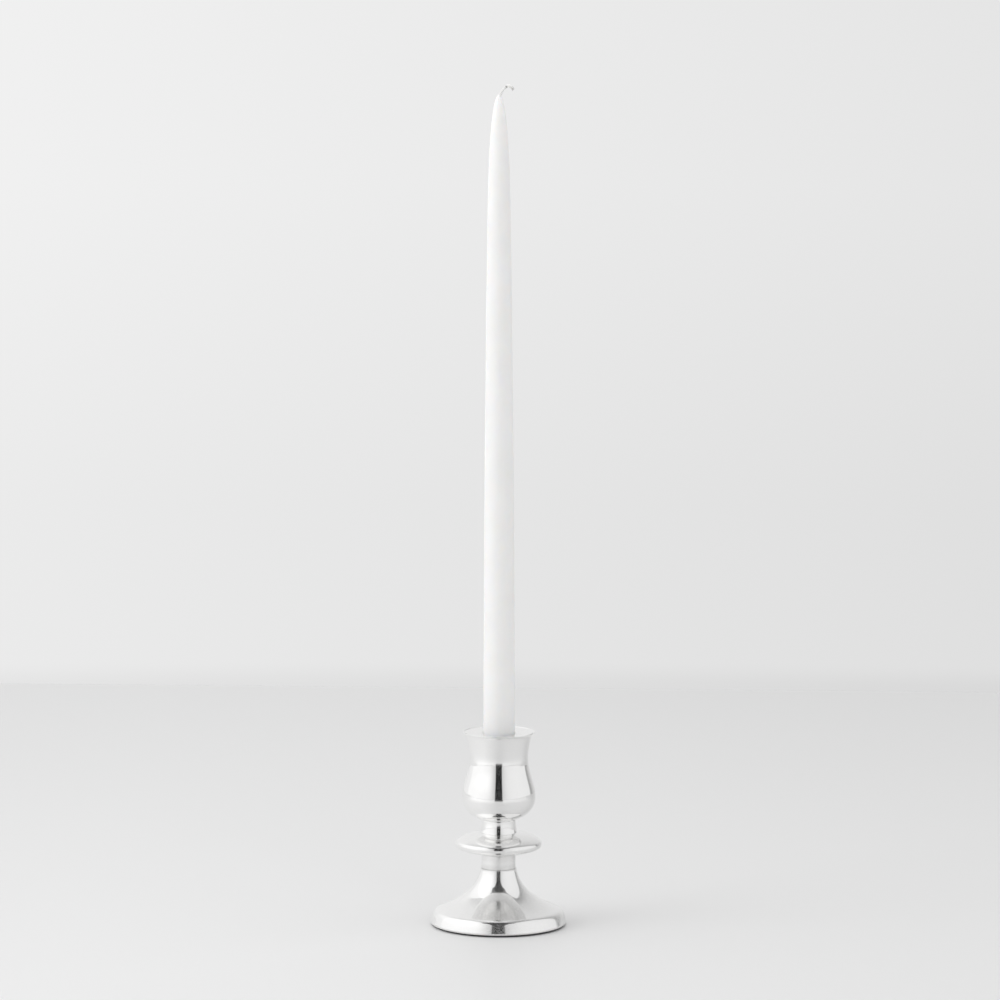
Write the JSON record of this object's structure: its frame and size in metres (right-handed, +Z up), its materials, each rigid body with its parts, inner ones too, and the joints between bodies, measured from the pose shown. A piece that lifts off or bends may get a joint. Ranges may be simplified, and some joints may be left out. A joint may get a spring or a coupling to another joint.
{
  "type": "altar candlestick",
  "caption": "Low silver-plated candlestick with a trumpet foot, saucer knop and tulip cup, holding a tall dipped taper in a loose nozzle.",
  "frame": {"origin": "centre of the felt's underside, where the candlestick rests on a table", "axes": "+Z up along the axis of the candlestick and candle; +X is the side the wick curls towards"},
  "size_m": [0.093, 0.093, 0.5782],
  "materials": {
    "silver_plate": "polished",
    "silver_nozzle": "polished",
    "cast_iron": "matte",
    "zinc_steel": "satin",
    "felt": "matte",
    "wax": "satin",
    "cotton": "matte"
  },
  "bodies": {
    "stand": {"foot_shell": "silver_plate", "lower_collar": "silver_plate", "drip_disc": "silver_plate", "upper_neck": "silver_plate", "candle_cup": "silver_plate", "felt_pad": "felt", "base_plate": "zinc_steel", "ballast_weight": "cast_iron", "tie_rod": "zinc_steel", "cup_washer": "zinc_steel", "cup_nut": "zinc_steel", "base_washer": "zinc_steel", "lock_washer": "zinc_steel", "base_nut": "zinc_steel"},
    "nozzle": {"candle_nozzle": "silver_nozzle"},
    "candle": {"taper_candle": "wax", "candle_wick": "cotton"}
  },
  "joints": [
    {"name": "nozzle_lift", "type": "slide", "parent": "stand", "child": "nozzle", "axis": [0, 0, 1], "range_m": [0, 0.03]},
    {"name": "candle_lift", "type": "slide", "parent": "nozzle", "child": "candle", "axis": [0, 0, 1], "range_m": [0, 0.03]}
  ]
}
